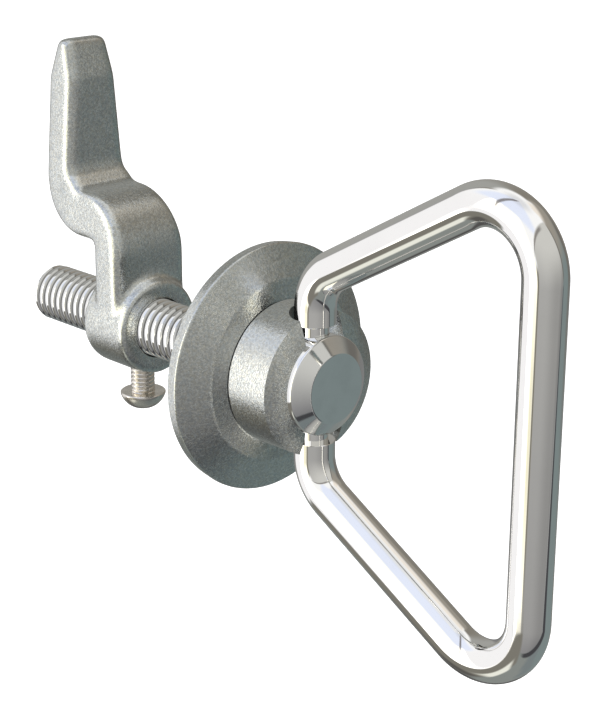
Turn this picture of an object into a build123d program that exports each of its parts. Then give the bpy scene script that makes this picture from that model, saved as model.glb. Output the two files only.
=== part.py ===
from build123d import *
from math import cos, radians, tan
import os

os.makedirs("parts", exist_ok=True)

# Cam latch with a folding loop handle, all sizes in millimetres.
# The origin is the centre of the mounting plate's back face.
# The spindle runs along Y: the handle is on -Y, the cam on +Y, +Z is up.

# Fits, all radial unless named otherwise
RUNNING_GAP = 0.05
THREAD_GAP = 0.05
FACE_GAP = 0.05

# Mounting plate
PLATE_BACK_R = 19.32
PLATE_RIM_R = 19.60
PLATE_RIM_Y = -1.98
PLATE_CREST_R = 14.40
PLATE_CREST_Y = -4.10
PLATE_CREST_FILLET = 1.50
PLATE_LIP_Y = -4.34
PLATE_LIP_GAP = 0.22
PLATE_SEAT_Y = -4.00
NECK_R = 7.9375
NECK_LENGTH = 8.00
NECK_CHAMFER = 0.60
NECK_PITCH = 1.4111
NECK_THREAD_DEPTH = 0.866
NECK_THREAD_START_Y = 0.95

# Spindle: cross-drilled head, journal and threaded rod in one piece
HEAD_R = 7.74
HEAD_CONE_Y = -14.16
HEAD_FACE_R = 5.375
HEAD_FACE_Y = -15.92
HEAD_SEAT_Y = -6.90
JOURNAL_R = 5.25
HEAD_EDGE_R = 0.50
JOURNAL_END_Y = 11.00
RING_GROOVE_R = 4.55
ROD_R = 4.7625
ROD_END_Y = 54.00
ROD_CHAMFER = 0.75
ROD_PITCH = 1.5875
ROD_THREAD_DEPTH = 0.974
RELIEF_END_Y = 14.00
THREAD_START_Y = 13.19

# Handle: one round bar bent to a closed loop, with turned-down pivot ends
BAR_R = 3.175
PIVOT_Y = -11.30
NECK_PIN_R = 2.10
NECK_PIN_Z = 9.25
PIN_END_Z = 0.40
LOOP_REACH = 42.55
LOOP_SIDE_Z = 15.93
LOOP_SLOPE = 0.557
PIVOT_BEND_R = 7.50
OUTER_BEND_R = 8.95

# Collar
COLLAR_R = 11.20
COLLAR_BACK_Y = -4.40
COLLAR_EDGE_Y = -12.15
COLLAR_CROWN_Y = -13.43
COLLAR_CROWN_RISE = 0.08
CHANNEL_R = 3.90

# Bearing washer
WASHER_INSET = 0.30

# Lock washer and thin hexagon nut, set for a panel behind the plate
PANEL_T = 2.50
LOCK_WASHER_R = 11.60
LOCK_WASHER_T = 1.00
LOCK_TOOTH_ROOT_R = 9.60
LOCK_TOOTH_WIDTH = 1.60
LOCK_TEETH = 12
NUT_FLATS = 22.20
NUT_T = 3.20
NUT_CHAMFER = 0.60

# Thrust washer and retaining ring on the journal
THRUST_R = 7.50
THRUST_T = 0.80
RING_R = 7.20
RING_T = 1.00
RING_MOUTH_HALF = 3.60
RING_RELIEF_R = 1.30

# Cam
BAR_T = 6.30
LEG_FRONT_Y = 27.00
LEG_HALF_WIDTH = 7.30
WEB_Z = 14.10
WEB_TOP_Z = 21.70
FINGER_FRONT_Y = 40.70
FINGER_TOP_Z = 45.50
FINGER_BASE_Z = 25.00
FINGER_BASE_HALF = 5.90
FINGER_TIP_HALF = 4.20
TIP_START_Z = 39.30
TIP_FRONT_SLANT = 1.65
TIP_BACK_SLANT = 2.05
FRONT_BEND_R = 9.50
BACK_BEND_R = 9.80
FINGER_ROOT_R = 1.80
LEG_ROOT_R = 1.30
SIDE_BEND_R = 20.00
EDGE_R = 1.20
HUB_R = 7.90
HUB_FRONT_Y = 25.00
HUB_BACK_Y = 35.65
HUB_MOUTH_R = 4.95
HUB_EDGE_R = 0.60
HUB_BACK_EDGE_R = 0.35
HUB_ROOT_R = 1.20

# Set screw under the hub
SCREW_Y = 30.00
SCREW_R = 2.00
SCREW_HEAD_R = 3.80
SCREW_SEAT_Z = -12.20
SCREW_HEAD_H = 2.60
SCREW_TIP_GAP = 0.25
SCREW_CHAMFER = 0.40
SCREW_LIP = 0.30
SCREW_FACE_R = 1.90
SOCKET_FLATS = 2.50
SOCKET_DEPTH = 1.60

# A thread is cut by a groove whose four sides are ruled between helices
def thread_groove(crest_r, depth, pitch, start_y, end_y):
    tool_r = crest_r + 0.15
    tool_half = pitch * 7 / 16 + (tool_r - crest_r) * tan(radians(30))
    root_half = pitch / 8
    turns = int((end_y - start_y) / pitch) + 2
    corners = [
        (tool_r, start_y - tool_half),
        (crest_r - depth, start_y - root_half),
        (crest_r - depth, start_y + root_half),
        (tool_r, start_y + tool_half),
    ]
    helices = [
        Helix(
            pitch=pitch,
            height=turns * pitch,
            radius=radius,
            center=(0, corner_y, 0),
            direction=(0, 1, 0),
            mode=Mode.PRIVATE,
        ).edges()[0]
        for radius, corner_y in corners
    ]
    sides = [
        Face.make_surface_from_curves(helices[i], helices[(i + 1) % 4])
        for i in range(4)
    ]
    ends = [
        Face(Wire.make_polygon([line @ place for line in helices], close=True))
        for place in (0, 1)
    ]
    return Solid(Shell(sides + ends))


# Mounting plate: coned rim, raised middle with a seat for the washer, threaded neck
lip_r = COLLAR_R + PLATE_LIP_GAP

with BuildPart() as mounting_plate:
    with BuildSketch(Plane.XY):
        with BuildLine():
            Polyline(
                (JOURNAL_R + RUNNING_GAP, NECK_LENGTH),
                (NECK_R - NECK_CHAMFER, NECK_LENGTH),
                (NECK_R, NECK_LENGTH - NECK_CHAMFER),
                (NECK_R, 0),
                (PLATE_BACK_R, 0),
                (PLATE_RIM_R, PLATE_RIM_Y),
            )
            Polyline(
                (PLATE_RIM_R, PLATE_RIM_Y),
                (PLATE_CREST_R, PLATE_CREST_Y),
                (lip_r, PLATE_LIP_Y),
                (lip_r, PLATE_SEAT_Y),
                (JOURNAL_R + RUNNING_GAP, PLATE_SEAT_Y),
                (JOURNAL_R + RUNNING_GAP, NECK_LENGTH),
            )
        make_face()
    revolve(axis=Axis.Y)
    rim = mounting_plate.edges().filter_by(GeomType.CIRCLE).sort_by(Edge.length)[-1:]
    fillet(rim, radius=0.35)
    crest = mounting_plate.edges().filter_by(
        lambda edge: abs(edge.center().Y - PLATE_CREST_Y) < 0.01
    )
    fillet(crest, radius=PLATE_CREST_FILLET)
    add(
        thread_groove(
            NECK_R, NECK_THREAD_DEPTH, NECK_PITCH, NECK_THREAD_START_Y, NECK_LENGTH
        ),
        mode=Mode.SUBTRACT,
    )

mounting_plate.part.label = "mounting_plate"
export_step(mounting_plate.part, "parts/mounting_plate.step")


# Black bearing washer between plate and collar
with BuildPart() as bearing_washer:
    with BuildSketch(Plane.XZ.offset(-PLATE_SEAT_Y)):
        Circle(COLLAR_R - WASHER_INSET)
        Circle(JOURNAL_R + 2 * RUNNING_GAP, mode=Mode.SUBTRACT)
    extrude(amount=PLATE_SEAT_Y - COLLAR_BACK_Y)

bearing_washer.part.label = "bearing_washer"
export_step(bearing_washer.part, "parts/bearing_washer.step")


# Crowned collar with the cross channel that clears the handle bar
seat_r = HEAD_R + RUNNING_GAP

with BuildPart() as collar:
    with BuildSketch(Plane.XY):
        with BuildLine():
            Polyline(
                (seat_r, COLLAR_CROWN_Y),
                (seat_r, HEAD_SEAT_Y),
                (JOURNAL_R + RUNNING_GAP, HEAD_SEAT_Y),
                (JOURNAL_R + RUNNING_GAP, COLLAR_BACK_Y),
                (COLLAR_R, COLLAR_BACK_Y),
                (COLLAR_R, COLLAR_EDGE_Y),
            )
            ThreePointArc(
                (COLLAR_R, COLLAR_EDGE_Y),
                (
                    (COLLAR_R + seat_r) / 2,
                    (COLLAR_EDGE_Y + COLLAR_CROWN_Y) / 2 - COLLAR_CROWN_RISE,
                ),
                (seat_r, COLLAR_CROWN_Y),
            )
        make_face()
    revolve(axis=Axis.Y)
    with BuildSketch(Plane.XY.offset(-COLLAR_R - 1)):
        with Locations((0, PIVOT_Y)):
            Circle(CHANNEL_R)
        with Locations((0, PIVOT_Y - CHANNEL_R)):
            Rectangle(2 * CHANNEL_R, 2 * CHANNEL_R)
    extrude(amount=2 * COLLAR_R + 2, mode=Mode.SUBTRACT)

collar.part.label = "collar"
export_step(collar.part, "parts/collar.step")


# Spindle: head, journal, ring groove, relief and threaded rod
ring_y = NECK_LENGTH + THRUST_T + FACE_GAP
core_r = ROD_R - ROD_THREAD_DEPTH

with BuildPart() as spindle:
    with BuildSketch(Plane.XY):
        with BuildLine():
            Polyline(
                (0, HEAD_FACE_Y),
                (HEAD_FACE_R, HEAD_FACE_Y),
                (HEAD_R, HEAD_CONE_Y),
                (HEAD_R, HEAD_SEAT_Y),
                (JOURNAL_R, HEAD_SEAT_Y),
                (JOURNAL_R, ring_y),
                (RING_GROOVE_R, ring_y),
                (RING_GROOVE_R, ring_y + RING_T),
                (JOURNAL_R, ring_y + RING_T),
                (JOURNAL_R, JOURNAL_END_Y),
                (core_r, JOURNAL_END_Y + JOURNAL_R - core_r),
                (core_r, RELIEF_END_Y),
                (ROD_R, RELIEF_END_Y + ROD_R - core_r),
                (ROD_R, ROD_END_Y - ROD_CHAMFER),
                (ROD_R - ROD_CHAMFER, ROD_END_Y),
                (0, ROD_END_Y),
                (0, HEAD_FACE_Y),
            )
        make_face()
    revolve(axis=Axis.Y)
    head_rim = spindle.edges().filter_by(
        lambda edge: abs(edge.center().Y - HEAD_CONE_Y) < 0.01
    )
    fillet(head_rim, radius=HEAD_EDGE_R)
    with BuildSketch(Plane.XY.offset(-HEAD_R - 1)):
        with Locations((0, PIVOT_Y)):
            Circle(NECK_PIN_R + RUNNING_GAP)
    extrude(amount=2 * HEAD_R + 2, mode=Mode.SUBTRACT)

    add(
        thread_groove(ROD_R, ROD_THREAD_DEPTH, ROD_PITCH, THREAD_START_Y, ROD_END_Y),
        mode=Mode.SUBTRACT,
    )

spindle.part.label = "spindle"
export_step(spindle.part, "parts/spindle.step")


# Handle: the bar's centre line lies in the YZ plane
outer_y = PIVOT_Y - LOOP_REACH
outer_z = LOOP_SIDE_Z + LOOP_SLOPE * LOOP_REACH

with BuildPart() as handle:
    with BuildLine(Plane.YZ) as loop_line:
        FilletPolyline(
            (PIVOT_Y, NECK_PIN_Z),
            (PIVOT_Y, LOOP_SIDE_Z),
            (outer_y, outer_z),
            (outer_y, -outer_z),
            (PIVOT_Y, -LOOP_SIDE_Z),
            (PIVOT_Y, -NECK_PIN_Z),
            radius=(PIVOT_BEND_R, OUTER_BEND_R, OUTER_BEND_R, PIVOT_BEND_R),
        )
    with BuildSketch(Plane.XY.offset(NECK_PIN_Z)):
        with Locations((0, PIVOT_Y)):
            Circle(BAR_R)
    sweep()
    with BuildSketch(Plane.XY.offset(-NECK_PIN_Z)):
        with Locations((0, PIVOT_Y)):
            Circle(NECK_PIN_R)
    extrude(amount=NECK_PIN_Z - PIN_END_Z)
    with BuildSketch(Plane.XY.offset(PIN_END_Z)):
        with Locations((0, PIVOT_Y)):
            Circle(NECK_PIN_R)
    extrude(amount=NECK_PIN_Z - PIN_END_Z)

handle.part.label = "handle"
export_step(handle.part, "parts/handle.step")


# Cam: a flat bar with two right-angle bends, a hub and a tapered finger
side_slope = (FINGER_BASE_HALF - FINGER_TIP_HALF) / (FINGER_TOP_Z - FINGER_BASE_Z)
web_half = FINGER_BASE_HALF + side_slope * (FINGER_BASE_Z - WEB_TOP_Z)
leg_back_y = LEG_FRONT_Y + BAR_T
finger_back_y = FINGER_FRONT_Y + BAR_T

with BuildPart() as cam:
    with BuildSketch(Plane.YZ.offset(-LEG_HALF_WIDTH)):
        with BuildLine():
            FilletPolyline(
                (LEG_FRONT_Y, 0),
                (LEG_FRONT_Y, WEB_TOP_Z),
                (FINGER_FRONT_Y, WEB_TOP_Z),
                (FINGER_FRONT_Y, TIP_START_Z),
                radius=(FRONT_BEND_R, FINGER_ROOT_R),
            )
            Polyline(
                (FINGER_FRONT_Y, TIP_START_Z),
                (FINGER_FRONT_Y + TIP_FRONT_SLANT, FINGER_TOP_Z),
                (finger_back_y - TIP_BACK_SLANT, FINGER_TOP_Z),
                (finger_back_y, TIP_START_Z),
            )
            FilletPolyline(
                (finger_back_y, TIP_START_Z),
                (finger_back_y, WEB_Z),
                (leg_back_y, WEB_Z),
                (leg_back_y, 0),
                radius=(BACK_BEND_R, LEG_ROOT_R),
            )
            Line((leg_back_y, 0), (LEG_FRONT_Y, 0))
        make_face()
    extrude(amount=2 * LEG_HALF_WIDTH)
    with BuildSketch(Plane.XZ.offset(-HUB_FRONT_Y)):
        with BuildLine():
            FilletPolyline(
                (LEG_HALF_WIDTH, 0),
                (LEG_HALF_WIDTH, WEB_Z - LEG_ROOT_R),
                (web_half, WEB_TOP_Z),
                (FINGER_TIP_HALF, FINGER_TOP_Z),
                radius=SIDE_BEND_R,
            )
            FilletPolyline(
                (-LEG_HALF_WIDTH, 0),
                (-LEG_HALF_WIDTH, WEB_Z - LEG_ROOT_R),
                (-web_half, WEB_TOP_Z),
                (-FINGER_TIP_HALF, FINGER_TOP_Z),
                radius=SIDE_BEND_R,
            )
            Line((FINGER_TIP_HALF, FINGER_TOP_Z), (-FINGER_TIP_HALF, FINGER_TOP_Z))
            Line((-LEG_HALF_WIDTH, 0), (LEG_HALF_WIDTH, 0))
        make_face()
    extrude(amount=-(finger_back_y + 1 - HUB_FRONT_Y), mode=Mode.INTERSECT)
    leg_edges = cam.edges().filter_by(Axis.Z).filter_by(
        lambda edge: edge.center().Z < WEB_Z
    )
    tip_edges = cam.edges().filter_by(
        lambda edge: edge.center().Z > TIP_START_Z + 0.5
    )
    fillet(leg_edges + tip_edges, radius=EDGE_R)
    with BuildSketch(Plane.XZ.offset(-HUB_FRONT_Y)):
        Circle(HUB_R)
    extrude(amount=-(HUB_BACK_Y - HUB_FRONT_Y))
    hub_joint = cam.edges().filter_by(
        lambda edge: abs(edge.center().Y - LEG_FRONT_Y) < 1.3
        and edge.center().Z > 2
        and edge.geom_type == GeomType.CIRCLE
        and abs(edge.radius - HUB_R) < 0.01
    )
    fillet(hub_joint, radius=HUB_ROOT_R)
    hub_rims = cam.edges().filter_by(
        lambda edge: edge.geom_type == GeomType.CIRCLE
        and abs(edge.radius - HUB_R) < 0.01
    )
    front_rim = hub_rims.filter_by(lambda edge: abs(edge.center().Y - HUB_FRONT_Y) < 0.01)
    fillet(front_rim, radius=HUB_EDGE_R)
    back_rim = cam.edges().filter_by(
        lambda edge: edge.geom_type == GeomType.CIRCLE
        and abs(edge.radius - HUB_R) < 0.01
        and abs(edge.center().Y - HUB_BACK_Y) < 0.01
    )
    fillet(back_rim, radius=HUB_BACK_EDGE_R)
    with BuildSketch(Plane.XY):
        with BuildLine():
            Polyline(
                (0, HUB_FRONT_Y - 1),
                (HUB_MOUTH_R + 1, HUB_FRONT_Y - 1),
                (ROD_R + THREAD_GAP, HUB_FRONT_Y + HUB_MOUTH_R - ROD_R - THREAD_GAP),
                (ROD_R + THREAD_GAP, HUB_BACK_Y - HUB_MOUTH_R + ROD_R + THREAD_GAP),
                (HUB_MOUTH_R + 1, HUB_BACK_Y + 1),
                (0, HUB_BACK_Y + 1),
                (0, HUB_FRONT_Y - 1),
            )
        make_face()
    revolve(axis=Axis.Y, mode=Mode.SUBTRACT)
    with BuildSketch(Plane.XY.offset(-HUB_R - 1)):
        with Locations((0, SCREW_Y)):
            Circle(SCREW_R + THREAD_GAP)
    extrude(amount=HUB_R + 1, mode=Mode.SUBTRACT)

cam.part.label = "cam"
export_step(cam.part, "parts/cam.step")


# Button-head set screw, turned about its own vertical line
screw_axis = Axis((0, SCREW_Y, 0), (0, 0, 1))
screw_tip_z = -ROD_R - SCREW_TIP_GAP
head_bottom_z = SCREW_SEAT_Z - SCREW_HEAD_H

with BuildPart() as set_screw:
    with BuildSketch(Plane.YZ):
        with BuildLine():
            Polyline(
                (SCREW_Y, screw_tip_z),
                (SCREW_Y + SCREW_R - SCREW_CHAMFER, screw_tip_z),
                (SCREW_Y + SCREW_R, screw_tip_z - SCREW_CHAMFER),
                (SCREW_Y + SCREW_R, SCREW_SEAT_Z),
                (SCREW_Y + SCREW_HEAD_R, SCREW_SEAT_Z),
                (SCREW_Y + SCREW_HEAD_R, SCREW_SEAT_Z - SCREW_LIP),
            )
            ThreePointArc(
                (SCREW_Y + SCREW_HEAD_R, SCREW_SEAT_Z - SCREW_LIP),
                (
                    SCREW_Y + SCREW_HEAD_R * 0.80,
                    SCREW_SEAT_Z - SCREW_LIP - (SCREW_HEAD_H - SCREW_LIP) * 0.62,
                ),
                (SCREW_Y + SCREW_FACE_R, head_bottom_z),
            )
            Polyline(
                (SCREW_Y + SCREW_FACE_R, head_bottom_z),
                (SCREW_Y, head_bottom_z),
                (SCREW_Y, screw_tip_z),
            )
        make_face()
    revolve(axis=screw_axis)
    with BuildSketch(Plane.XY.offset(head_bottom_z)):
        with Locations((0, SCREW_Y)):
            RegularPolygon(SOCKET_FLATS / 2, 6, major_radius=False)
    extrude(amount=SOCKET_DEPTH, mode=Mode.SUBTRACT)

set_screw.part.label = "set_screw"
export_step(set_screw.part, "parts/set_screw.step")


# Internal-tooth lock washer and thin nut on the plate's neck
with BuildPart() as lock_washer:
    with BuildSketch(Plane.XZ.offset(-PANEL_T)):
        Circle(LOCK_WASHER_R)
        Circle(LOCK_TOOTH_ROOT_R, mode=Mode.SUBTRACT)
    extrude(amount=-LOCK_WASHER_T)
    with BuildSketch(Plane.XZ.offset(-PANEL_T)):
        with PolarLocations((LOCK_TOOTH_ROOT_R + NECK_R) / 2 + 0.20, LOCK_TEETH):
            Rectangle(LOCK_TOOTH_ROOT_R - NECK_R, LOCK_TOOTH_WIDTH)
    extrude(amount=-LOCK_WASHER_T)

lock_washer.part.label = "lock_washer"
export_step(lock_washer.part, "parts/lock_washer.step")

nut_front_y = PANEL_T + LOCK_WASHER_T
nut_corner_r = NUT_FLATS / 2 / cos(radians(30))

with BuildPart() as mounting_nut:
    with BuildSketch(Plane.XZ.offset(-nut_front_y)):
        RegularPolygon(NUT_FLATS / 2, 6, major_radius=False)
        Circle(NECK_R + THREAD_GAP, mode=Mode.SUBTRACT)
    extrude(amount=-NUT_T)
    with BuildSketch(Plane.XY):
        with BuildLine():
            Polyline(
                (0, nut_front_y),
                (NUT_FLATS / 2, nut_front_y),
                (nut_corner_r + 0.2, nut_front_y + NUT_CHAMFER),
                (nut_corner_r + 0.2, nut_front_y + NUT_T - NUT_CHAMFER),
                (NUT_FLATS / 2, nut_front_y + NUT_T),
                (0, nut_front_y + NUT_T),
                (0, nut_front_y),
            )
        make_face()
    revolve(axis=Axis.Y, mode=Mode.INTERSECT)

mounting_nut.part.label = "mounting_nut"
export_step(mounting_nut.part, "parts/mounting_nut.step")


# Thrust washer against the neck's end
with BuildPart() as thrust_washer:
    with BuildSketch(Plane.XZ.offset(-NECK_LENGTH)):
        Circle(THRUST_R)
        Circle(JOURNAL_R + 2 * RUNNING_GAP, mode=Mode.SUBTRACT)
    extrude(amount=-THRUST_T)

thrust_washer.part.label = "thrust_washer"
export_step(thrust_washer.part, "parts/thrust_washer.step")


# Open retaining ring snapped into the journal's groove
with BuildPart() as retaining_ring:
    with BuildSketch(Plane.XZ.offset(-ring_y)):
        Circle(RING_R)
        Circle(RING_GROOVE_R, mode=Mode.SUBTRACT)
        with Locations((0, -RING_R / 2)):
            Rectangle(2 * RING_MOUTH_HALF, RING_R, mode=Mode.SUBTRACT)
        with Locations((RING_GROOVE_R * 0.72, RING_GROOVE_R * 0.72)):
            Circle(RING_RELIEF_R, mode=Mode.SUBTRACT)
        with Locations((-RING_GROOVE_R * 0.72, RING_GROOVE_R * 0.72)):
            Circle(RING_RELIEF_R, mode=Mode.SUBTRACT)
    extrude(amount=-RING_T)

retaining_ring.part.label = "retaining_ring"
export_step(retaining_ring.part, "parts/retaining_ring.step")
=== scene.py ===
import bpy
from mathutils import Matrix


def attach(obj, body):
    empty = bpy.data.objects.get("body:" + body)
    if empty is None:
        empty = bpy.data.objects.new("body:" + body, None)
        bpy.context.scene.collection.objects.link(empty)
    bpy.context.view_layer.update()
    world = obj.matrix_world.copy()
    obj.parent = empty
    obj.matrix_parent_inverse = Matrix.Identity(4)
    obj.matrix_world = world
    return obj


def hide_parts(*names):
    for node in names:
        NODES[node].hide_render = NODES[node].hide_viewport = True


bl_info = {
    "name": "Cam latch builder",
    "version": (1, 0, 0),
    "blender": (4, 5, 0),
    "location": "3D View > Sidebar > Latch",
    "description": "Builds and dresses a cam latch with a folding loop handle around its packed solids",
    "category": "Object",
}

from math import atan2, ceil, copysign, cos, degrees, floor, pi, radians, sin, sqrt, tan

import bmesh
import bpy
from bpy.props import FloatProperty, FloatVectorProperty, PointerProperty
from bpy.types import Operator, Panel, PropertyGroup
from mathutils import Matrix, Vector

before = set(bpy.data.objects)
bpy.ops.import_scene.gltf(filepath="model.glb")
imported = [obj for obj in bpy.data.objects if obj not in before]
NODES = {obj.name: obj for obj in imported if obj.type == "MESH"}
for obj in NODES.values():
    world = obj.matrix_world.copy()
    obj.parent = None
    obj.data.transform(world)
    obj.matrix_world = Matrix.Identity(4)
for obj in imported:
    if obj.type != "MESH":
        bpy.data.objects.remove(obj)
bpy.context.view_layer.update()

MM = 0.001
TURN = 2 * pi

# Places that several pieces share, in millimetres
PIVOT_Y = -11.3
SCREW_Y = 30.0


# Sizes and colours that a user may change

def length(name, description, millimetres):
    return FloatProperty(
        name=name,
        description=description,
        default=millimetres * MM,
        min=0.0,
        unit="LENGTH",
        precision=5,
    )


def colour(name, description, value):
    return FloatVectorProperty(
        name=name,
        description=description,
        default=value,
        size=3,
        min=0.0,
        max=1.0,
        subtype="COLOR",
    )


class LatchSizes(PropertyGroup):
    """Sizes of the rod, the set screw and the handle"""

    rod_pitch: length("Rod pitch", "Distance between two turns of the rod's thread", 1.5875)
    rod_radius: length("Rod radius", "Major radius of the rod's thread", 4.7625)
    rod_end: length("Rod end", "Distance of the rod's end from the door face", 54.0)
    screw_pitch: length("Screw pitch", "Distance between two turns of the screw's thread", 0.70)
    screw_radius: length("Screw radius", "Major radius of the set screw's thread", 2.0)
    bar_radius: length("Bar radius", "Radius of the handle's round bar", 3.175)
    pin_radius: length("Pin radius", "Radius of the handle's turned-down ends", 2.1)


class LatchColours(PropertyGroup):
    """Tone of each finish, before its grain and stains"""

    casting: colour("Plated casting", "Zinc plating on plate, collar and cam", (0.62, 0.64, 0.625))
    chrome: colour("Polished bar", "Polished plating on the handle", (0.93, 0.925, 0.91))
    steel: colour("Turned steel", "Bright steel of head and rod", (0.88, 0.885, 0.88))
    screw: colour("Screw steel", "Steel of the set screw", (0.86, 0.82, 0.76))
    hardware: colour("Plated steel", "Plating on nut and washers", (0.72, 0.73, 0.72))
    spring: colour("Spring steel", "Dark oxide on the retaining ring", (0.07, 0.07, 0.07))
    washer: colour("Black washer", "Plastic of the bearing washer", (0.012, 0.012, 0.013))


def sizes():
    return bpy.context.scene.latch_sizes


def colours():
    return bpy.context.scene.latch_colours


def tinted(tone, red, green, blue):
    return (tone[0] * red, tone[1] * green, tone[2] * blue, 1.0)


def rgba(tone, scale=1.0):
    return tinted(tone, scale, scale, scale)


def grey(value, red=1.0, green=1.0, blue=1.0):
    return tinted((value, value, value), red, green, blue)


# Shader maths

class Value:
    """A shader socket that can be used in plain arithmetic."""

    def __init__(self, nodes, socket):
        self.nodes = nodes
        self.socket = socket

    def math(self, operation, *values):
        return self.nodes.number(operation, self, *values)

    def __add__(self, other):
        return self.math("ADD", other)

    __radd__ = __add__

    def __sub__(self, other):
        return self.math("SUBTRACT", other)

    def __rsub__(self, other):
        return self.nodes.number("SUBTRACT", other, self)

    def __mul__(self, other):
        return self.math("MULTIPLY", other)

    __rmul__ = __mul__

    def __truediv__(self, other):
        return self.math("DIVIDE", other)

    def __rtruediv__(self, other):
        return self.nodes.number("DIVIDE", other, self)

    def step(self, start, end):
        """0 at start, 1 at end and smooth between; the end may lie below the start."""
        falls = start > end
        return self.nodes.add(
            "ShaderNodeMapRange",
            {"interpolation_type": "SMOOTHSTEP", "clamp": True},
            {
                "Value": self,
                "From Min": min(start, end),
                "From Max": max(start, end),
                "To Min": float(falls),
                "To Max": float(not falls),
            },
        )

    def band(self, low, high, soft):
        """1 between low and high, with an edge of twice soft centred on each."""
        return self.step(low - soft, low + soft) * self.step(high + soft, high - soft)


# Sockets of the Mix node that carry colours
MIX_FIRST, MIX_SECOND, MIX_RESULT = 6, 7, 2


class Nodes:
    """Adds nodes to the tree of a material or a world."""

    def __init__(self, tree):
        self.tree = tree
        tree.nodes.clear()

    def add(self, kind, settings=None, inputs=None, output=0):
        """Adds a node, makes its settings, fills or links its inputs and returns one output."""
        node = self.tree.nodes.new(kind)
        for key, value in (settings or {}).items():
            setattr(node, key, value)
        for key, value in (inputs or {}).items():
            if isinstance(value, Value):
                self.tree.links.new(value.socket, node.inputs[key])
            else:
                node.inputs[key].default_value = value
        return Value(self, node.outputs[output] if node.outputs else None)

    def number(self, operation, *values):
        return self.add("ShaderNodeMath", {"operation": operation}, dict(enumerate(values)))

    def place(self):
        return self.add("ShaderNodeTexCoord", output="Object")

    def split(self, vector):
        node = self.add("ShaderNodeSeparateXYZ", None, {0: vector}).socket.node
        return [Value(self, socket) for socket in node.outputs]

    def noise(self, scale, detail, roughness, vector=None):
        return self.add(
            "ShaderNodeTexNoise",
            {"noise_dimensions": "3D"},
            {
                "Vector": vector or self.place(),
                "Scale": scale,
                "Detail": detail,
                "Roughness": roughness,
            },
        )

    def mix(self, factor, first, second):
        return self.add(
            "ShaderNodeMix",
            {"data_type": "RGBA", "clamp_factor": True},
            {"Factor": factor, MIX_FIRST: first, MIX_SECOND: second},
            output=MIX_RESULT,
        )

    def bump(self, height, strength, distance):
        return self.add(
            "ShaderNodeBump",
            None,
            {"Height": height, "Strength": strength, "Distance": distance},
        )

    def surface(self, inputs):
        shader = self.add("ShaderNodeBsdfPrincipled", None, inputs)
        self.add("ShaderNodeOutputMaterial", None, {"Surface": shader})


def away(a, b):
    """Distance from the point where both values are 0."""
    return (a * a + b * b).math("SQRT")


def new_material(name):
    material = bpy.data.materials.new(name)
    material.use_nodes = True
    return material, Nodes(material.node_tree)


# Finishes

def self_shade(n):
    """Mask of painted shade: 1 deep in the collar's channel and in the cam's bore, which mirror mostly
    themselves.
    """
    x, y, z = n.split(n.place())
    over_pivot = (y - PIVOT_Y * MM).math("MAXIMUM", 0.0)
    channel = away(x, over_pivot).step(3.98 * MM, 3.86 * MM) * y.step(-3.0 * MM, -5.0 * MM)
    left_side = x.step(1.2 * MM, -0.6 * MM)
    bore = away(x, z).step(5.10 * MM, 4.98 * MM) * y.step(10.0 * MM, 12.0 * MM)
    return (channel * left_side).math("MAXIMUM", bore)


def plated_casting():
    """Zinc plating over a tumbled casting: satin, with a fine mottled grain."""
    material, n = new_material("plated_casting")
    tone = colours().casting
    grain = n.noise(scale=3400.0, detail=2.0, roughness=0.55)
    flake = n.noise(scale=1700.0, detail=3.0, roughness=0.6)
    cloud = n.noise(scale=170.0, detail=3.0, roughness=0.5)
    tint = n.noise(scale=2300.0, detail=2.0, roughness=0.5)
    mottle = flake * 0.45 + grain * 0.55
    warm = tinted(tone, 1.12, 1.06, 0.92)
    cold = tinted(tone, 0.86, 0.95, 1.04)
    base = n.mix(mottle.step(0.34, 0.66), rgba(tone, 0.78), rgba(tone, 1.22))
    base = n.mix(tint.step(0.50, 0.68) * 0.45, base, warm)
    base = n.mix(tint.step(0.50, 0.32) * 0.45, base, cold)
    base = n.mix(cloud.step(0.35, 0.7) * 0.25, base, rgba(tone, 0.90))
    # Painted shade: near-black base colour deep in the collar's channel and the cam's bore
    base = n.mix(self_shade(n), base, rgba(tone, 0.02))
    n.surface({
        "Base Color": base,
        "Metallic": 1.0,
        "Roughness": 0.18 + flake * 0.14,
        "Normal": n.bump(flake * 0.5 + grain * 0.5, strength=0.45, distance=0.10 * MM),
    })
    return material


def polished_bar():
    """Polished chrome with a faint haze."""
    material, n = new_material("polished_bar")
    tone = colours().chrome
    haze = n.noise(scale=160.0, detail=4.0, roughness=0.6)
    fine = n.noise(scale=1400.0, detail=2.0, roughness=0.5)
    n.surface({
        "Base Color": n.mix(haze.step(0.4, 0.75) * 0.35, rgba(tone), rgba(tone, 0.93)),
        "Metallic": 1.0,
        "Roughness": 0.02 + haze * 0.04,
        "Normal": n.bump(fine, strength=0.03, distance=0.03 * MM),
    })
    return material


def turned_steel():
    """Bright turned steel with fine rings round the spindle's line, and painted shade darkening the
    thread roots.
    """
    material, n = new_material("turned_steel")
    tone = colours().steel
    ring_scale = 9000.0
    x, y, z = n.split(n.place())
    radius = away(x, z)
    turning = n.add("ShaderNodeCombineXYZ", None, {"X": radius * ring_scale, "Y": y * ring_scale})
    rings = n.noise(scale=1.0, detail=2.0, roughness=0.5, vector=turning)
    stain = n.noise(scale=240.0, detail=4.0, roughness=0.6)
    crest = sizes().rod_radius
    # Painted shade: the rod's thread roots are darkened nearly to black
    on_rod = y.step(13.0 * MM, 14.0 * MM)
    root = radius.step(crest - 0.14 * MM, crest - 0.52 * MM) * on_rod
    base = n.mix(stain.step(0.42, 0.72), rgba(tone), rgba(tone, 0.95))
    base = n.mix(root * 0.9, base, rgba(tone, 0.10))
    n.surface({
        "Base Color": base,
        "Metallic": 1.0,
        "Roughness": 0.04 + stain * 0.06,
        "Normal": n.bump(rings, strength=0.04, distance=0.02 * MM),
    })
    return material


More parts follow.
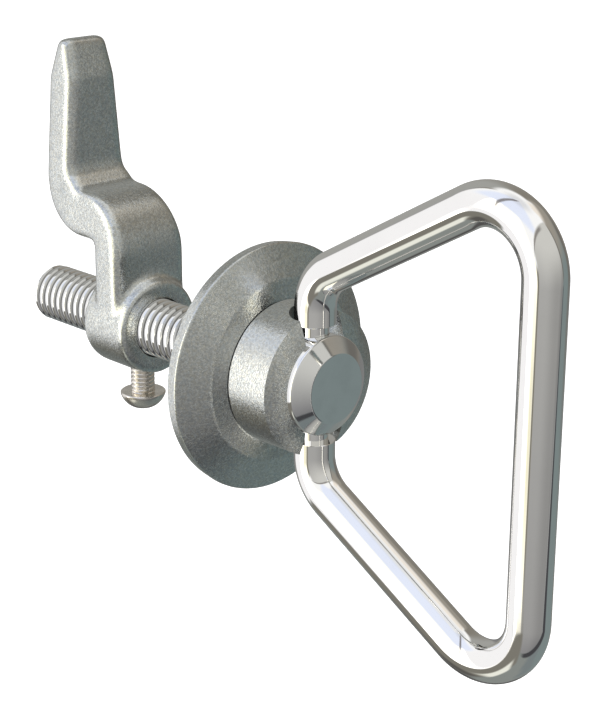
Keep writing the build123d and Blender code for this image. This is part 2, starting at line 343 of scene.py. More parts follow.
def screw_steel():
    """Plain steel of the small screw, a little warmer and duller."""
    material, n = new_material("screw_steel")
    tone = colours().screw
    stain = n.noise(scale=700.0, detail=4.0, roughness=0.6)
    grain = n.noise(scale=3200.0, detail=2.0, roughness=0.5)
    n.surface({
        "Base Color": n.mix(stain.step(0.4, 0.7), rgba(tone), rgba(tone, 0.82)),
        "Metallic": 1.0,
        "Roughness": 0.18 + stain * 0.14,
        "Normal": n.bump(grain, strength=0.08, distance=0.03 * MM),
    })
    return material


def plated_steel():
    """Bright plating on the nut and the flat washers."""
    material, n = new_material("plated_steel")
    tone = colours().hardware
    stain = n.noise(scale=330.0, detail=4.0, roughness=0.6)
    grain = n.noise(scale=2400.0, detail=2.0, roughness=0.5)
    n.surface({
        "Base Color": n.mix(stain.step(0.38, 0.7), rgba(tone, 1.04), rgba(tone, 0.84)),
        "Metallic": 1.0,
        "Roughness": 0.24 + stain * 0.16,
        "Normal": n.bump(grain, strength=0.12, distance=0.04 * MM),
    })
    return material


def spring_steel():
    """Black oxide on the retaining ring, rubbed in spots."""
    material, n = new_material("spring_steel")
    tone = colours().spring
    bare_steel = (0.22, 0.21, 0.20, 1.0)
    rub = n.noise(scale=900.0, detail=4.0, roughness=0.65)
    n.surface({
        "Base Color": n.mix(rub.step(0.55, 0.75), rgba(tone), bare_steel),
        "Metallic": 0.85,
        "Roughness": 0.34 + rub * 0.2,
        "Normal": n.bump(rub, strength=0.15, distance=0.04 * MM),
    })
    return material


def black_washer():
    """Matte black plastic with a little dust."""
    material, n = new_material("black_washer")
    tone = colours().washer
    dust = n.noise(scale=1500.0, detail=3.0, roughness=0.6)
    n.surface({
        "Base Color": n.mix(dust.step(0.5, 0.8), rgba(tone), grey(0.03)),
        "Roughness": 0.55 + dust * 0.2,
        "Normal": n.bump(dust, strength=0.2, distance=0.04 * MM),
    })
    return material


MAKERS = {
    "plated_casting": plated_casting,
    "polished_bar": polished_bar,
    "turned_steel": turned_steel,
    "screw_steel": screw_steel,
    "plated_steel": plated_steel,
    "spring_steel": spring_steel,
    "black_washer": black_washer,
}
FINISHES = {}


def finish(name):
    """The material of that name, which is made when it is first asked for."""
    if name not in FINISHES:
        FINISHES[name] = MAKERS[name]()
    return FINISHES[name]


def dress_node(node, slot_name):
    solid = NODES[node]
    solid.data.materials.clear()
    solid.data.materials.append(finish(slot_name))


# Mesh building

def link(name, data):
    """A new object in the scene."""
    holder = bpy.data.objects.new(name, data)
    bpy.context.scene.collection.objects.link(holder)
    return holder


def shade(mesh, sharp_angle):
    """Smooth shading, but for edges that turn by more than the angle in degrees."""
    mesh.shade_smooth()
    mesh.set_sharp_from_angle(angle=radians(sharp_angle))


def to_object(name, bm, slot_name, sharp_angle):
    bmesh.ops.recalc_face_normals(bm, faces=bm.faces)
    mesh = bpy.data.meshes.new(name)
    bm.to_mesh(mesh)
    bm.free()
    shade(mesh, sharp_angle)
    piece = link(name, mesh)
    mesh.materials.append(finish(slot_name))
    return piece


def evaluated_mesh(piece):
    """A new mesh of the piece with its modifiers applied."""
    bpy.context.view_layer.update()
    graph = bpy.context.evaluated_depsgraph_get()
    return bpy.data.meshes.new_from_object(piece.evaluated_get(graph))


def cut(piece, cutter):
    """Cuts the cutter out of the piece and deletes the cutter."""
    boolean = piece.modifiers.new("cut", "BOOLEAN")
    boolean.operation = "DIFFERENCE"
    boolean.solver = "EXACT"
    boolean.object = cutter
    result = evaluated_mesh(piece)
    if not result.polygons:
        raise RuntimeError(f"the cut of {piece.name} left nothing")
    piece.modifiers.clear()
    old = piece.data
    piece.data = result
    bpy.data.meshes.remove(old)
    bpy.data.objects.remove(cutter)


def cylinder_along(start, end, radius, segments):
    """A closed cylinder between two points, for cutting."""
    bm = bmesh.new()
    axis = end - start
    turn = axis.to_track_quat("Z", "Y").to_matrix().to_4x4()
    bmesh.ops.create_cone(
        bm,
        cap_ends=True,
        segments=segments,
        radius1=radius,
        radius2=radius,
        depth=axis.length,
        matrix=Matrix.Translation((start + end) / 2) @ turn,
    )
    mesh = bpy.data.meshes.new("cutter")
    bm.to_mesh(mesh)
    bm.free()
    return link("cutter", mesh)


def point_y(radius, angle, along):
    """A point at that distance from the Y axis; the angle runs from +Z to +X."""
    return Vector((radius * sin(angle), along, radius * cos(angle)))


def ring_y(bm, radius, along, segments):
    """A ring of vertices round the Y axis, or one vertex where the radius is 0."""
    if radius == 0.0:
        return [bm.verts.new(Vector((0, along, 0)))]
    return [bm.verts.new(point_y(radius, TURN * i / segments, along)) for i in range(segments)]


def join_rings(bm, first, second):
    """Faces between two rings, one of which may be a single vertex."""
    count = max(len(first), len(second))
    for i in range(count):
        j = (i + 1) % count
        around = [first[k % len(first)] for k in (i, j)] + [second[k % len(second)] for k in (j, i)]
        corners = list(dict.fromkeys(around))
        if len(corners) > 2:
            bm.faces.new(corners)


def revolve_y(bm, profile, segments):
    """Turns (radius, y) points in millimetres round the Y axis; returns the last ring."""
    rings = [ring_y(bm, radius * MM, y * MM, segments) for radius, y in profile]
    for first, second in zip(rings, rings[1:]):
        join_rings(bm, first, second)
    return rings[-1]


def arc_points(start, middle, end, count):
    """Points on the circle through three points, from start to end."""
    (ax, ay), (bx, by), (cx, cy) = start, middle, end
    a, b, c = ax**2 + ay**2, bx**2 + by**2, cx**2 + cy**2
    divisor = 2 * (ax * (by - cy) + bx * (cy - ay) + cx * (ay - by))
    ux = (a * (by - cy) + b * (cy - ay) + c * (ay - by)) / divisor
    uy = (a * (cx - bx) + b * (ax - cx) + c * (bx - ax)) / divisor
    radius = sqrt((ax - ux) ** 2 + (ay - uy) ** 2)
    first, via, last = (atan2(y - uy, x - ux) for x, y in (start, middle, end))
    turn = (last - first) % TURN
    if (via - first) % TURN > turn:
        turn -= TURN
    angles = [first + turn * i / count for i in range(count + 1)]
    return [(ux + radius * cos(angle), uy + radius * sin(angle)) for angle in angles]


def bend(before, corner, after, radius, count=None):
    """Points and headings along the arc that rounds a corner, 3 degrees apart without a count."""
    arrive = (Vector(corner) - Vector(before)).normalized()
    leave = (Vector(after) - Vector(corner)).normalized()
    turn = atan2(arrive.x * leave.y - arrive.y * leave.x, arrive.dot(leave))
    start = Vector(corner) - arrive * radius * tan(abs(turn) / 2)
    centre = start + Vector((-arrive.y, arrive.x)) * copysign(radius, turn)
    if count is None:
        count = max(6, int(abs(degrees(turn)) / 3))
    turns = [Matrix.Rotation(turn * i / count, 2) for i in range(count + 1)]
    return [(centre + part @ (start - centre), part @ arrive) for part in turns]


def fillet(before, corner, after, radius, count):
    return [point for point, _ in bend(before, corner, after, radius, count)]


def towards(corner, other, distance):
    """The point at that distance from a corner, on the way to another one."""
    return Vector(corner) + (Vector(other) - Vector(corner)).normalized() * distance


# One turn of a rolled thread, full at its crest: (part of the pitch, depth as part of the pitch)
THREAD_FORM = (
    (0.000, 0.006),
    (0.060, 0.000),
    (0.200, 0.000),
    (0.228, 0.016),
    (0.460, 0.402),
    (0.490, 0.425),
    (0.530, 0.425),
    (0.560, 0.402),
    (0.792, 0.016),
    (0.820, 0.006),
)


def thread_depth(phase):
    """Depth under the crest at a phase of 0 to 1, as part of the pitch."""
    points = THREAD_FORM + ((1.0, THREAD_FORM[0][1]),)
    for (a, depth_a), (b, depth_b) in zip(points, points[1:]):
        if a <= phase <= b:
            return depth_a + (depth_b - depth_a) * (phase - a) / (b - a)
    return THREAD_FORM[0][1]


def thread_y(bm, crest, pitch, origin, start, end, segments, limit):
    """A right-hand thread along +Y from start to end, cut off flat at both.

    origin is where a turn begins at angle 0, and limit(y) gives the largest radius at
    y, for chamfers. Returns the vertices in the planes of start and end, one for each
    segment.
    """
    first_turn = floor((start - origin) / pitch) - 2
    last_turn = ceil((end - origin) / pitch) + 1
    steps = len(THREAD_FORM)
    low = [None] * segments
    high = [None] * segments

    def vertex(radius, i, along):
        return bm.verts.new(point_y(min(radius, limit(along)), TURN * i / segments, along))

    def end_vertex(store, i, along):
        if store[i] is None:
            phase = ((along - origin) / pitch - i / segments) % 1.0
            store[i] = vertex(crest - thread_depth(phase) * pitch, i, along)
        return store[i]

    grid = {}
    for turn in range(first_turn, last_turn + 1):
        for j, (part, depth) in enumerate(THREAD_FORM):
            for i in range(segments):
                along = origin + (turn + part + i / segments) * pitch
                if along <= start:
                    grid[turn, j, i] = end_vertex(low, i, start)
                elif along >= end:
                    grid[turn, j, i] = end_vertex(high, i, end)
                else:
                    grid[turn, j, i] = vertex(crest - depth * pitch, i, along)

    def corner(turn, j, i):
        if j == steps:
            turn, j = turn + 1, 0
        if i == segments:
            turn, i = turn + 1, 0
        return grid.get((turn, j, i))

    for turn in range(first_turn, last_turn):
        for j in range(steps):
            for i in range(segments):
                places = ((j, i), (j, i + 1), (j + 1, i + 1), (j + 1, i))
                around = [corner(turn, *place) for place in places]
                if None in around:
                    continue
                corners = list(dict.fromkeys(around))
                flat_end = all(c in low for c in corners) or all(c in high for c in corners)
                if len(corners) > 2 and not flat_end and bm.faces.get(corners) is None:
                    bm.faces.new(corners)
    return low, high


def weld(bm):
    """Joins vertices that lie in one place."""
    bmesh.ops.remove_doubles(bm, verts=bm.verts, dist=0.0001 * MM)


# Pieces

class LATCH_OT_castings(Operator):
    """Dresses the mounting plate and the collar in their mottled plating"""

    bl_idname = "latch.castings"
    bl_label = "Castings"

    def execute(self, context):
        for node in ("mounting_plate", "collar"):
            dress_node(node, "plated_casting")
            NODES[node].visible_glossy = False
        return {"FINISHED"}


class LATCH_OT_cam(Operator):
    """Builds the cam with the soft, tumbled edges of a casting"""

    bl_idname = "latch.cam"
    bl_label = "Cam"

    # Sizes in millimetres
    voxel = 0.26
    bore_radius = 4.8125
    screw_hole_radius = 2.05
    guard = 0.35
    root_centre_y = 36.8
    root_centre_z = 25.6
    root_radius = 3.9
    root_most_shift = 1.05
    root_full_depth = 1.2
    root_last_depth = 3.0

    smooth_passes = 22
    fewest_vertices = 1000

    def guarded(self, point):
        """True next to the machined bore and the screw hole, which stay as they are."""
        x, y, z = point / MM
        by_bore = sqrt(x * x + z * z) < self.bore_radius + self.guard
        from_screw = sqrt(x * x + (y - SCREW_Y) ** 2)
        by_screw = z < 0 and from_screw < self.screw_hole_radius + self.guard
        return by_bore or by_screw

    def fill_root(self, point):
        """Moves a point near the finger's root out to the wide fillet of the casting."""
        ahead = point.y / MM - self.root_centre_y
        below = self.root_centre_z - point.z / MM
        if ahead <= 0.0 or below <= 0.0:
            return
        distance = sqrt(ahead * ahead + below * below)
        angle = atan2(below, ahead)
        to_corner = self.root_radius / max(cos(angle), sin(angle))
        depth = distance - to_corner
        if depth > self.root_last_depth:
            return
        fade = (self.root_last_depth - depth) / (self.root_last_depth - self.root_full_depth)
        shift = min(to_corner - self.root_radius, self.root_most_shift) * min(fade, 1.0)
        scale = (distance - shift) / distance
        point.y = (self.root_centre_y + ahead * scale) * MM
        point.z = (self.root_centre_z - below * scale) * MM

    def execute(self, context):
        mesh = NODES["cam"].data.copy()
        mesh.materials.clear()
        piece = link("cam_cast", mesh)
        remesh = piece.modifiers.new("skin", "REMESH")
        remesh.mode = "VOXEL"
        remesh.voxel_size = self.voxel * MM
        skin = evaluated_mesh(piece)
        piece.modifiers.clear()
        bm = bmesh.new()
        bm.from_mesh(skin)
        bpy.data.meshes.remove(skin)
        soft = [vertex for vertex in bm.verts if not self.guarded(vertex.co)]
        if len(soft) < self.fewest_vertices:
            raise RuntimeError("the cam's skin was not built")
        for vertex in soft:
            self.fill_root(vertex.co)
        for _ in range(self.smooth_passes):
            bmesh.ops.smooth_vert(
                bm, verts=soft, factor=0.5, use_axis_x=True, use_axis_y=True, use_axis_z=True
            )
        bm.to_mesh(mesh)
        bm.free()
        mesh.shade_smooth()
        mesh.materials.append(finish("plated_casting"))
        piece.visible_glossy = False
        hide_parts("cam")
        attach(piece, "cam_body")
        return {"FINISHED"}


class LATCH_OT_hardware(Operator):
    """Dresses the nut, the washers and the retaining ring"""

    bl_idname = "latch.hardware"
    bl_label = "Nut, washers and ring"

    def execute(self, context):
        for node in ("mounting_nut", "lock_washer", "thrust_washer"):
            dress_node(node, "plated_steel")
        dress_node("retaining_ring", "spring_steel")
        dress_node("bearing_washer", "black_washer")
        return {"FINISHED"}


class LATCH_OT_spindle(Operator):
    """Builds the spindle: cross-drilled head, journal and threaded rod"""

    bl_idname = "latch.spindle"
    bl_label = "Spindle"

    # Sizes in millimetres
    face_y = -15.92
    face_edge = ((5.20, -15.92), (5.26, -15.92), (5.34, -15.909), (5.42, -15.886), (5.47, -15.852))
    rim_y = -14.16
    rim_radius = 7.74
    rim_fillet = 0.5
    head_end_y = -6.9
    head_chamfer = 0.2
    journal_radius = 5.25
    groove_radius = 4.55
    groove_start_y = 8.85
    groove_end_y = 9.85
    journal_end_y = 11.0
    thread_cut = 0.974
    core_end_y = 13.95
    thread_origin_y = 12.3
    thread_start_y = 14.0
    end_chamfer = 0.75
    cross_hole_radius = 2.15
    cross_hole_reach = 9.0

    segments = 96
    sharp_angle = 30.0

    def profile(self, core_radius):
        """Outline of head, journal and ring groove, down to the rod's core.

        A ring close to a fillet keeps the fillet's shading off the flat beside it.
        """
        cone_start = self.face_edge[-1]
        rim = (self.rim_radius, self.rim_y)
        head_end = (self.rim_radius, self.head_end_y)
        return [
            (0.0, self.face_y),
            *self.face_edge,
            towards(rim, cone_start, 0.30),
            *fillet(cone_start, rim, head_end, self.rim_fillet, 6),
            towards(rim, head_end, 0.31),
            (self.rim_radius, self.head_end_y - self.head_chamfer),
            (self.rim_radius - self.head_chamfer, self.head_end_y),
            (self.journal_radius, self.head_end_y),
            (self.journal_radius, self.groove_start_y),
            (self.groove_radius, self.groove_start_y),
            (self.groove_radius, self.groove_end_y),
            (self.journal_radius, self.groove_end_y),
            (self.journal_radius, self.journal_end_y),
            (core_radius, self.journal_end_y + self.journal_radius - core_radius),
            (core_radius, self.core_end_y),
        ]

    def execute(self, context):
        s = sizes()
        bm = bmesh.new()
        thread_start = self.thread_start_y * MM
        chamfer_start = s.rod_end - self.end_chamfer * MM
        core = s.rod_radius - self.thread_cut * MM
        shoulder = revolve_y(bm, self.profile(core / MM), self.segments)

        def limit(along):
            rise = core + along - thread_start
            fall = s.rod_radius - max(0.0, along - chamfer_start)
            return min(rise, fall)

        low, high = thread_y(
            bm,
            s.rod_radius,
            s.rod_pitch,
            self.thread_origin_y * MM,
            thread_start,
            s.rod_end,
            self.segments,
            limit,
        )
        join_rings(bm, shoulder, low)
        bm.faces.new(high)
        weld(bm)
        piece = to_object("spindle_turned", bm, "turned_steel", self.sharp_angle)
        hole_ends = [Vector((0, PIVOT_Y, side * self.cross_hole_reach)) * MM for side in (-1, 1)]
        cut(piece, cylinder_along(*hole_ends, self.cross_hole_radius * MM, segments=64))
        shade(piece.data, self.sharp_angle)
        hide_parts("spindle")
        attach(piece, "spindle_body")
        return {"FINISHED"}


class LATCH_OT_handle(Operator):
    """Builds the loop handle as one bent bar with turned-down pivot ends"""

    bl_idname = "latch.handle"
    bl_label = "Handle"

    # Sizes in millimetres; the slope is the rise of the side bars for each length of reach
    reach = 42.55
    side_z = 15.93
    slope = 0.557
    pivot_bend = 7.5
    outer_bend = 8.95
    neck_z = 9.25
    neck_edge = 0.07
    pin_end_z = 0.4
    pin_edge = 0.15

    segments = 72
    sharp_angle = 40.0

    def centre_line(self):
        """Points and headings of the bar's four bends, from the upper neck to the lower one."""
        outer_y = PIVOT_Y - self.reach
        outer_z = self.side_z + self.slope * self.reach
        corners = [
            (PIVOT_Y, self.neck_z),
            (PIVOT_Y, self.side_z),
            (outer_y, outer_z),
            (outer_y, -outer_z),
            (PIVOT_Y, -self.side_z),
            (PIVOT_Y, -self.neck_z),
        ]
        radii = (self.pivot_bend, self.outer_bend, self.outer_bend, self.pivot_bend)
        line = []
        for before, corner, after, radius in zip(corners, corners[1:], corners[2:], radii):
            line += bend(before, corner, after, radius)
        return line

    def ring(self, bm, place, heading, radius):
        """Vertices round the bar's centre line, square to its heading."""
        across = Vector((1, 0, 0))
        beside = Vector((0, heading.x, heading.y)).cross(across)
        centre = Vector((0, place.x, place.y))
        ring = []
        for i in range(self.segments):
            angle = TURN * i / self.segments
            spoke = cos(angle) * across + sin(angle) * beside
            ring.append(bm.verts.new((centre + radius * spoke) * MM))
        return ring

    def execute(self, context):
        bar = sizes().bar_radius / MM
        pin = sizes().pin_radius / MM
        up = Vector((0, 1))
        pin_end = (
            (self.pin_end_z, pin - self.pin_edge),
            (self.pin_end_z + self.pin_edge, pin),
            (self.neck_z, pin),
            (self.neck_z, bar - self.neck_edge),
            (self.neck_z + self.neck_edge, bar),
        )
        stations = [(Vector((PIVOT_Y, z)), up, radius) for z, radius in pin_end]
        stations += [(place, heading, bar) for place, heading in self.centre_line()]
        stations += [(Vector((PIVOT_Y, -z)), up, radius) for z, radius in reversed(pin_end)]
        bm = bmesh.new()
        rings = [self.ring(bm, *station) for station in stations]
        for first, second in zip(rings, rings[1:]):
            join_rings(bm, first, second)
        bm.faces.new(rings[0])
        bm.faces.new(rings[-1])
        piece = to_object("handle_bar", bm, "polished_bar", self.sharp_angle)
        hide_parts("handle")
        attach(piece, "handle_body")
        return {"FINISHED"}


class LATCH_OT_set_screw(Operator):
    """Builds the button-head set screw with its thread and hexagon socket"""

    bl_idname = "latch.set_screw"
    bl_label = "Set screw"

    # Sizes in millimetres; depths are below the spindle's line
    crown_depth = 14.8
    crown_radius = 1.9
    dome = (3.04, 13.926)
    rim_radius = 3.8
    rim_depth = 12.5
    rim_chamfer = 0.12
    seat_depth = 12.2
    seat_edge = 0.06
    thread_start_depth = 12.0
    tip_depth = 5.0125
    tip_chamfer = 0.4
    socket_flats = 2.5
    socket_depth = 13.2
    socket_mouth = 16.0

    segments = 64
    sharp_angle = 32.0

    def profile(self, shank):
        """Outline of the button head down to the shank, as (radius, depth)."""
        crown = (self.crown_radius, self.crown_depth)
        rim = (self.rim_radius, self.rim_depth)
        return [
            (0.0, self.crown_depth),
            *arc_points(crown, self.dome, rim, 14),
            (self.rim_radius, self.seat_depth + self.rim_chamfer),
            (self.rim_radius - self.rim_chamfer, self.seat_depth),
            (shank + self.seat_edge, self.seat_depth),
            (shank, self.seat_depth - self.seat_edge),
        ]

    def execute(self, context):
        s = sizes()
        bm = bmesh.new()
        head = [(radius, -depth) for radius, depth in self.profile(s.screw_radius / MM)]
        shoulder = revolve_y(bm, head, self.segments)
        thread_start = -self.thread_start_depth * MM
        chamfer_start = -(self.tip_depth + self.tip_chamfer) * MM

        def limit(along):
            return s.screw_radius - max(0.0, along - chamfer_start)

        low, high = thread_y(
            bm,
            s.screw_radius,
            s.screw_pitch,
            thread_start,
            thread_start,
            -self.tip_depth * MM,
            self.segments,
            limit,
        )
        join_rings(bm, shoulder, low)
        bm.faces.new(high)
        # The screw is turned from the Y axis to stand on end under the hub
        for vertex in bm.verts:
            x, y, z = vertex.co
            vertex.co = Vector((-x, z + SCREW_Y * MM, y))
        weld(bm)
        piece = to_object("set_screw_turned", bm, "screw_steel", self.sharp_angle)
        mouth = Vector((0, SCREW_Y, -self.socket_mouth)) * MM
        bottom = Vector((0, SCREW_Y, -self.socket_depth)) * MM
        socket_radius = self.socket_flats / 2 / cos(pi / 6) * MM
        cut(piece, cylinder_along(mouth, bottom, socket_radius, segments=6))
        shade(piece.data, self.sharp_angle)
        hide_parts("set_screw")
        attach(piece, "screw_body")
        return {"FINISHED"}


# Stage

class Studio:
    """The studio that the metal mirrors, painted by direction.

    bearing is in degrees from -Y towards +X, and height in degrees above the horizon.
    """

    def __init__(self, n, x, y, z):
        self.n = n
        self.x, self.y, self.z = x, y, z
        self.bearing = n.number("ARCTAN2", x, y * -1.0) * degrees(1.0)
        self.height = z.math("ARCSINE") * degrees(1.0)
        self.sill = self.bearing.step(-172.0, -136.0) * 8.0 - 36.0
        self.tone = n.mix(self.height.step(-24.0, -32.0), self.ceiling(), self.ground())

    def paint(self, mask, colour):
        """Lays a colour over what is there, where the mask is 1."""
        self.tone = self.n.mix(mask, self.tone, colour)

    def colour(self):
        self.back_wall()
        self.right_wall()
        self.front_panel()
        self.left_panel()
        self.dark_gap()
        self.lamp_seam()
        return self.tone

    def ceiling(self):
        """White, cooler over the left panel, with a grey top and a warm side."""
        n, bearing, height = self.n, self.bearing, self.height
        cool = bearing.band(-158.0, -50.0, 12.0) * height.step(28.0, 42.0)
        warm = bearing.band(42.0, 84.0, 10.0) * height.step(76.0, 62.0)
        tone = n.mix(cool, grey(1.02), grey(0.92, 0.91, 0.97, 1.14))
        tone = n.mix(height.step(66.0, 84.0) * 0.6, tone, grey(0.62, 0.98, 1.0, 1.06))
        return n.mix(warm, tone, grey(0.84, 1.08, 0.99, 0.88))

    def ground(self):
        darker = self.bearing.band(-20.0, 100.0, 20.0) * self.height.step(-86.0, -72.0)
        return self.n.mix(darker, grey(0.26, 0.96, 1.03, 0.98), grey(0.215, 0.90, 1.03, 1.05))

    def back_wall(self):
        """Dark wall behind the latch, with two darker strips low on it."""
        bearing, height = self.bearing, self.height
        right, left = grey(0.22, 1.08, 1.0, 0.86), grey(0.37, 1.0, 1.0, 0.95)
        wall = self.n.mix(bearing.step(108.0, 150.0), right, left)
        behind = bearing.step(84.0, 96.0).math("MAXIMUM", bearing.step(-170.0, -176.0))
        self.paint(behind * height.step(66.0, 54.0) * height.step(-34.0, -28.0), wall)
        lower_strip = bearing.band(112.0, 178.0, 8.0) * height.band(-58.0, -42.0, 5.0)
        self.paint(lower_strip, grey(0.085, 1.03, 0.99, 0.98))
        upper_strip = bearing.band(98.0, 178.0, 6.0) * height.band(-27.0, -8.0, 5.0)
        self.paint(upper_strip, grey(0.21, 1.0, 1.0, 0.99))

    def right_wall(self):
        """Wall at the right, brown above and greenish below, with a dark edge in front."""
        n, bearing, height = self.n, self.bearing, self.height
        wall = n.mix(height.step(0.0, 26.0), grey(0.24, 0.85, 1.03, 1.03), grey(0.30, 1.06, 1.0, 0.88))
        wall = n.mix(height.step(24.0, 38.0), wall, grey(0.31, 1.09, 1.0, 0.86))
        corner = bearing.step(68.0, 84.0) * height.step(-28.0, -10.0) * height.step(30.0, 12.0)
        wall = n.mix(corner, wall, grey(0.155, 1.06, 1.0, 0.90))
        whole = bearing.band(34.0, 97.0, 5.0) * height.step(60.0, 44.0) * height.step(-66.0, -54.0)
        self.paint(whole, wall)
        edge = bearing.band(34.0, 41.0, 4.0) * height.band(-8.0, 44.0, 6.0)
        self.paint(edge, grey(0.15, 1.03, 1.0, 0.90))

    def wall_place(self, azimuth):
        """Where a direction meets a wall square to that azimuth: across, up and in front."""
        a = radians(azimuth)
        front = self.x * sin(a) - self.y * cos(a)
        safe = front.math("MAXIMUM", 0.03)
        across = (self.x * cos(a) + self.y * sin(a)) / safe
        return across, self.z / safe, front.step(0.0, 0.06)

    def front_panel(self):
        """Large grey panel in front, lighter towards its top, with a dark frame."""
        n, bearing, height = self.n, self.bearing, self.height
        across, up, ahead = self.wall_place(3.0)
        over_foot = up - (across * 0.82 - 0.93)
        face = n.mix(height.step(-62.0, 34.0), grey(0.24, 1.0, 0.99, 1.02), grey(0.62, 1.01, 1.0, 0.95))
        face = n.mix(bearing.step(-50.0, 10.0) * height.step(30.0, -10.0) * 0.24, face, grey(0.02))
        face = n.mix(across.step(0.24, 0.64) * 0.55 * height.step(20.0, -20.0), face, grey(0.14))
        under = over_foot.step(-0.56, -0.34) * over_foot.step(0.10, -0.03)
        under = under * across.step(0.86, 0.70) * ahead * bearing.step(-78.0, -50.0)
        inside = over_foot.step(-0.03, 0.10) * up.step(1.62, 1.48)
        inside = inside * across.step(0.70, 0.60) * ahead * bearing.step(-86.0, -79.0)
        over = up.band(1.24, 1.46, 0.07) * across.step(0.1, -0.6) * ahead
        self.paint(under, grey(0.06, 1.0, 1.0, 1.08))
        self.paint(inside, face)
        self.paint(over * 0.85, grey(0.20, 1.08, 1.0, 0.94))

    def left_panel(self):
        """White panel at the left, brightest along one upright stretch."""
        n, bearing, height = self.n, self.bearing, self.height
        lit = n.mix(bearing.step(-131.0, -126.0), grey(0.98, 1.0, 0.99, 1.0), grey(3.8, 1.04, 1.0, 0.92))
        lit = n.mix(bearing.step(-122.0, -112.0), lit, grey(1.5, 1.03, 0.98, 0.80))
        wide = bearing.step(-179.0, -173.0) * bearing.step(-87.0, -92.0)
        tall = (height - self.sill).step(-1.5, 1.5) * height.step(42.0, 24.0)
        self.paint(wide * tall, lit)
        foot = bearing.band(-104.0, -90.0, 3.0) * height.band(-25.0, -17.0, 3.0)
        self.paint(foot, grey(0.92, 1.05, 1.0, 0.76))
        post = bearing.band(-89.0, -81.0, 3.0) * height.band(-28.0, -4.0, 4.0)
        self.paint(post, grey(0.18, 1.08, 1.0, 0.78))
        self.paint(bearing.step(-170.0, -180.0) * height.band(2.0, 46.0, 5.0), grey(0.34))

    def dark_gap(self):
        """Dark gap under the left panel and the lit patch of floor before it."""
        bearing, height = self.bearing, self.height
        under_sill = (height - self.sill).step(1.5, -1.5)
        gap = bearing.step(-72.0, -84.0) * height.step(-61.0, -55.0) * under_sill
        self.paint(gap, grey(0.20, 1.05, 1.0, 0.86))
        darkest = bearing.step(-140.0, -154.0) * height.band(-59.0, -44.0, 4.0)
        self.paint(darkest, grey(0.10, 1.05, 1.0, 0.92))
        patch = bearing.band(-136.0, -95.0, 7.0) * height.band(-62.0, -47.0, 3.0)
        self.paint(patch, grey(0.88, 1.0, 1.0, 0.90))

    def lamp_seam(self):
        """Seam between two lamps overhead, which widens with its height."""
        bearing, height = self.bearing, self.height
        a = radians(-120.0)
        off_seam = (self.x * cos(a) + self.y * sin(a)).math("ABSOLUTE")
        half_width = height.step(0.0, 60.0) * 0.030 + 0.010
        seam = (off_seam - half_width).step(0.018, -0.018)
        seam = seam * bearing.band(-135.0, -105.0, 4.0) * height.step(4.0, 14.0)
        self.paint(seam * 0.9, grey(0.20, 1.05, 0.98, 0.98))


def direction(azimuth, elevation):
    """A unit vector from the latch, with azimuth 0 at -Y and both angles in degrees."""
    a, e = radians(azimuth), radians(elevation)
    return Vector((sin(a) * cos(e), -cos(a) * cos(e), sin(e)))


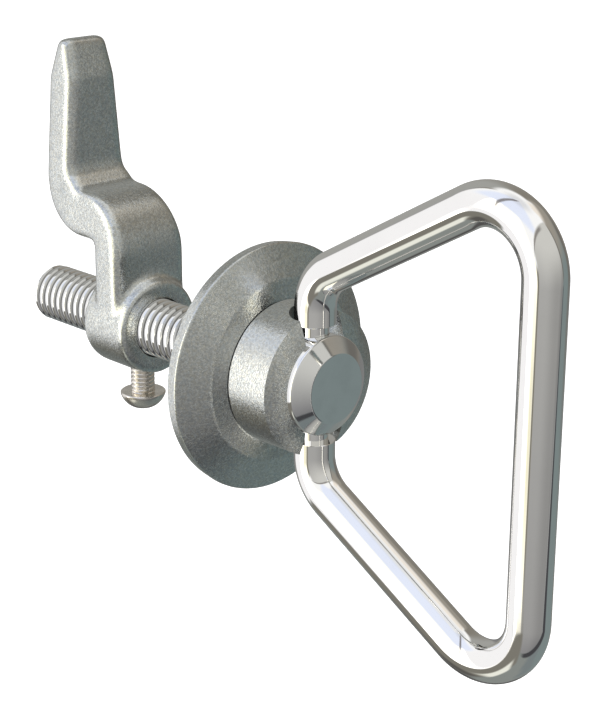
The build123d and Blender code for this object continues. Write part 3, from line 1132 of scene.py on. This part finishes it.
class LATCH_OT_stage(Operator):
    """Sets the pale floor, the studio surroundings, the lamps and the camera"""

    bl_idname = "latch.stage"
    bl_label = "Stage"

    # The floor, in metres
    floor_z = -0.075
    floor_reach = 6.0
    floor_cells = 8
    floor_glow = 0.55

    # Name, azimuth, elevation, distance and size in metres, and power in watts
    lamp_list = (
        ("key_lamp", -115.0, 32.0, 0.9, 0.6, 4.0),
        ("fill_lamp", -20.0, 55.0, 1.1, 0.7, 1.6),
    )

    # The photograph's camera, in degrees, pixels and millimetres
    azimuth = -43.9125
    elevation = 18.8193
    roll = 0.2265
    focal_px = 1770.692
    photo_px = (600.0, 720.0)
    origin_px = (263.8507, 363.6494)
    depth = 273.7879

    def execute(self, context):
        self.floor()
        self.surroundings(context.scene)
        self.lamps()
        self.camera(context.scene)
        context.scene.view_settings.view_transform = "Standard"
        return {"FINISHED"}

    def floor(self):
        bm = bmesh.new()
        cells = self.floor_cells
        bmesh.ops.create_grid(bm, x_segments=cells, y_segments=cells, size=self.floor_reach)
        mesh = bpy.data.meshes.new("floor")
        bm.to_mesh(mesh)
        bm.free()
        mesh.transform(Matrix.Translation((0, 0, self.floor_z)))
        sheet = link("floor", mesh)
        material, n = new_material("pale_floor")
        seen = n.add("ShaderNodeLightPath", output="Is Camera Ray")
        paper = n.add("ShaderNodeBsdfDiffuse", None, {"Color": grey(0.9)})
        light = {"Color": grey(1.0), "Strength": seen * self.floor_glow}
        glow = n.add("ShaderNodeEmission", None, light)
        both = n.add("ShaderNodeAddShader", None, {0: paper, 1: glow})
        n.add("ShaderNodeOutputMaterial", None, {"Surface": both})
        mesh.materials.append(material)
        sheet.visible_glossy = False

    def surroundings(self, scene):
        """The studio for the metal to mirror; the camera itself sees plain white."""
        world = bpy.data.worlds.new("studio")
        scene.world = world
        world.use_nodes = True
        n = Nodes(world.node_tree)
        x, y, z = n.split(n.add("ShaderNodeTexCoord", output="Generated"))
        seen = n.add("ShaderNodeLightPath", output="Is Camera Ray")
        final = n.mix(seen, Studio(n, x, y, z).colour(), grey(1.0))
        shader = n.add("ShaderNodeBackground", None, {"Color": final, "Strength": 1.0})
        n.add("ShaderNodeOutputWorld", None, {"Surface": shader})

    def lamps(self):
        for name, azimuth, elevation, distance, size, power in self.lamp_list:
            lamp = bpy.data.lights.new(name, "AREA")
            lamp.shape = "SQUARE"
            lamp.size = size
            lamp.energy = power
            holder = link(name, lamp)
            outward = direction(azimuth, elevation)
            holder.location = outward * distance
            holder.rotation_euler = outward.to_track_quat("Z", "Y").to_euler()
            holder.visible_glossy = False

    def camera(self, scene):
        """The photograph's view, fitted to the circles of plate, collar, head and rod."""
        roll = radians(self.roll)
        back = direction(self.azimuth, self.elevation)
        level = (-back).cross(Vector((0, 0, 1))).normalized()
        rise = level.cross(-back)
        right = cos(roll) * level + sin(roll) * rise
        up = -sin(roll) * level + cos(roll) * rise
        data = bpy.data.cameras.new("photo_camera")
        data.sensor_fit = "HORIZONTAL"
        data.sensor_width = 36.0
        data.lens = self.focal_px / self.photo_px[0] * data.sensor_width
        data.clip_start = 0.01
        data.clip_end = 50.0
        holder = link("photo_camera", data)
        metres_a_pixel = self.depth * MM / self.focal_px
        across = (self.origin_px[0] - self.photo_px[0] / 2) * metres_a_pixel
        above = (self.photo_px[1] / 2 - self.origin_px[1]) * metres_a_pixel
        place = back * self.depth * MM - right * across - up * above
        turn = Matrix((right, up, back)).transposed().to_4x4()
        holder.matrix_world = Matrix.Translation(place) @ turn
        scene.camera = holder


class LATCH_PT_panel(Panel):
    """Lists the latch's sizes, colours and builders"""

    bl_idname = "LATCH_PT_panel"
    bl_label = "Cam latch"
    bl_space_type = "VIEW_3D"
    bl_region_type = "UI"
    bl_category = "Latch"

    def draw(self, context):
        layout = self.layout
        for group in (context.scene.latch_sizes, context.scene.latch_colours):
            column = layout.column(align=True)
            for name in group.bl_rna.properties.keys():
                if name not in ("rna_type", "name"):
                    column.prop(group, name)
        for builder in BUILDERS:
            layout.operator(builder.bl_idname)


BUILDERS = (
    LATCH_OT_castings,
    LATCH_OT_cam,
    LATCH_OT_hardware,
    LATCH_OT_spindle,
    LATCH_OT_handle,
    LATCH_OT_set_screw,
    LATCH_OT_stage,
)
CLASSES = (LatchSizes, LatchColours) + BUILDERS + (LATCH_PT_panel,)


def register():
    for cls in CLASSES:
        bpy.utils.register_class(cls)
    bpy.types.Scene.latch_sizes = PointerProperty(type=LatchSizes)
    bpy.types.Scene.latch_colours = PointerProperty(type=LatchColours)


def unregister():
    del bpy.types.Scene.latch_colours
    del bpy.types.Scene.latch_sizes
    for cls in reversed(CLASSES):
        bpy.utils.unregister_class(cls)


def main():
    register()
    bpy.ops.latch.castings()
    bpy.ops.latch.cam()
    bpy.ops.latch.hardware()
    bpy.ops.latch.spindle()
    bpy.ops.latch.handle()
    bpy.ops.latch.set_screw()
    bpy.ops.latch.stage()


if __name__ == "__main__":
    main()
